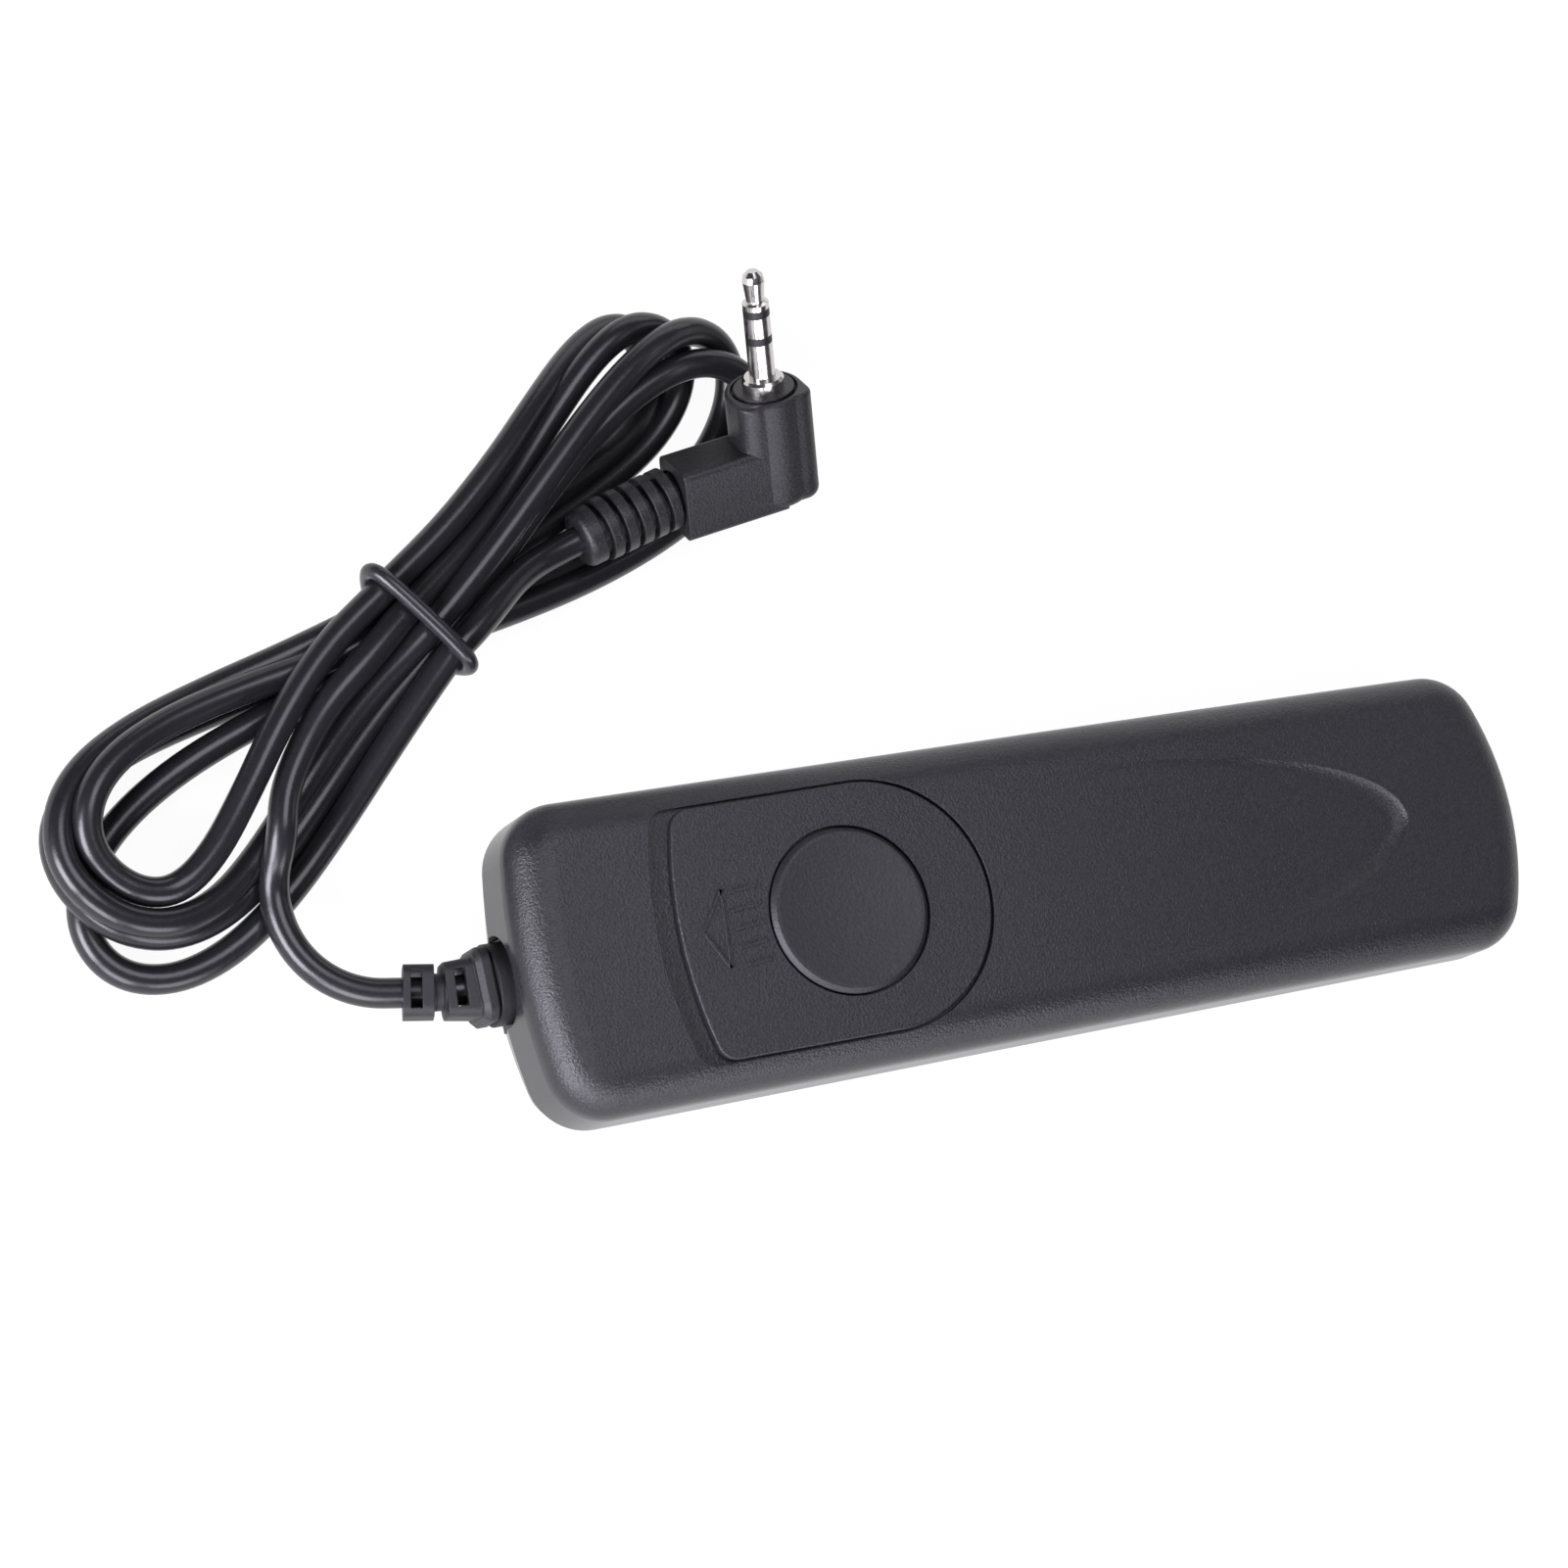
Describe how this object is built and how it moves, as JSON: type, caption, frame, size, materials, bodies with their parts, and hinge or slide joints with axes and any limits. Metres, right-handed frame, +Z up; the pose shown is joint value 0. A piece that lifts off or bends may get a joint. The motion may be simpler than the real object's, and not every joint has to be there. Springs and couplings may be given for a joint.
{
  "type": "wired remote shutter release",
  "caption": "Black two-shell handset with a two-stage button in a hold slider, slotted strain relief, tied cable hank and right-angle stereo jack plug.",
  "frame": {"origin": "middle of the handset's underside, on the surface it rests on", "axes": "+X runs from the cable end to the plain end of the handset, +Y to the side on which the cable lies, +Z up through the button"},
  "size_m": [0.1419, 0.0759, 0.0217],
  "materials": {
    "shell_plastic": "fine spark-eroded grain, satin",
    "slider_plastic": "fine grain, satin",
    "button_plastic": "finer grain, satin",
    "relief_pvc": "moulded, matt",
    "cable_pvc": "smooth, semi-gloss jacket",
    "tie_rubber": "smooth, satin",
    "plug_pvc": "moulded with fine grain, matt",
    "jack_plate": "nickel plated, polished",
    "jack_insulator": "smooth",
    "contact_bronze": "rolled strip",
    "insulating_board": "natural",
    "screw_steel": "black zinc",
    "wire_red": "smooth",
    "wire_white": "smooth",
    "wire_yellow": "smooth"
  },
  "bodies": {
    "handset": {"top_housing": "shell_plastic", "bottom_cover": "shell_plastic", "housing_screws": "screw_steel", "contact_carrier": "insulating_board", "contact_leaf_common": "contact_bronze", "contact_leaf_focus": "contact_bronze", "contact_leaf_shutter": "contact_bronze", "leaf_spacers": "insulating_board", "leaf_clamp": "insulating_board", "wire_common": "wire_white", "wire_focus": "wire_yellow", "wire_shutter": "wire_red", "cable_inner_end": "cable_pvc", "cable_grommet": "relief_pvc", "cable_exit": "cable_pvc", "cable_hank": "cable_pvc", "cable_plug_end": "cable_pvc", "cable_tie": "tie_rubber", "plug_body": "plug_pvc", "plug_strain_relief": "plug_pvc", "jack_sleeve": "jack_plate", "jack_ring": "jack_plate", "jack_tip": "jack_plate", "jack_insulators": "jack_insulator"},
    "slider": {"hold_slider": "slider_plastic"},
    "button": {"shutter_button": "button_plastic"}
  },
  "joints": [
    {"name": "slider_hold", "type": "slide", "parent": "handset", "child": "slider", "axis": [-1, 0, 0], "range_m": [0, 0.0019]},
    {"name": "button_press", "type": "slide", "parent": "slider", "child": "button", "axis": [0, 0, -1], "range_m": [0, 0.002], "stiffness_N_per_m": 600, "springref_m": -0.0004, "deforming": ["contact_leaf_common", "contact_leaf_focus", "contact_leaf_shutter"]}
  ]
}
